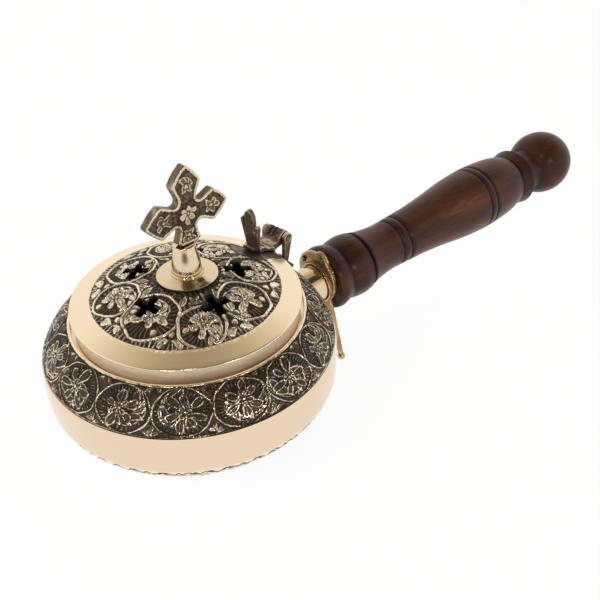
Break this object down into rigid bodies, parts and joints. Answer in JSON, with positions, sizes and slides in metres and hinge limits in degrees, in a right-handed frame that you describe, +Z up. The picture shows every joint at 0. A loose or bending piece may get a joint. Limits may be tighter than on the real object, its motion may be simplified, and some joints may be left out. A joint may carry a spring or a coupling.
{
  "type": "hand censer",
  "caption": "Round engraved brass hand censer with a hinged pierced lid, a standing cross and a turned wooden handle.",
  "frame": {"origin": "middle of the round foot, on the floor", "axes": "+Z up, +X towards the handle, +Y away from the near side"},
  "size_m": [0.2819, 0.1108, 0.1046],
  "materials": {
    "engraved_brass": "engraved, dark in the recesses, plain belly and rim polished",
    "polished_brass": "polished",
    "aged_bronze": "cast, dark patina with worn edges",
    "cast_brass": "rough cast, rubbed",
    "plain_steel": "plain, dull",
    "dark_wood": "turned, stained dark red brown, satin lacquer"
  },
  "bodies": {
    "censer": {"bowl": "engraved_brass", "hinge_bracket": "cast_brass", "bracket_rivet_1": "cast_brass", "bracket_rivet_2": "cast_brass", "hinge_pin": "plain_steel", "socket_tube": "polished_brass", "handle_plate": "cast_brass", "plate_nail": "plain_steel", "tang_rod": "plain_steel", "tang_washer": "plain_steel", "tang_nut": "plain_steel", "wooden_handle": "dark_wood"},
    "lid_assembly": {"lid": "engraved_brass", "lid_hinge": "aged_bronze", "lid_rivet_1": "cast_brass", "lid_rivet_2": "cast_brass", "finial_stem": "polished_brass", "cross": "aged_bronze", "finial_stud": "plain_steel", "finial_washer": "plain_steel", "finial_nut": "plain_steel"}
  },
  "joints": [
    {"name": "lid_hinge_joint", "type": "hinge", "parent": "censer", "child": "lid_assembly", "pos_m": [0.04842, 0.01029, 0.057], "axis": [-0.2079, 0.9781, 0], "range_deg": [0, 105]}
  ]
}
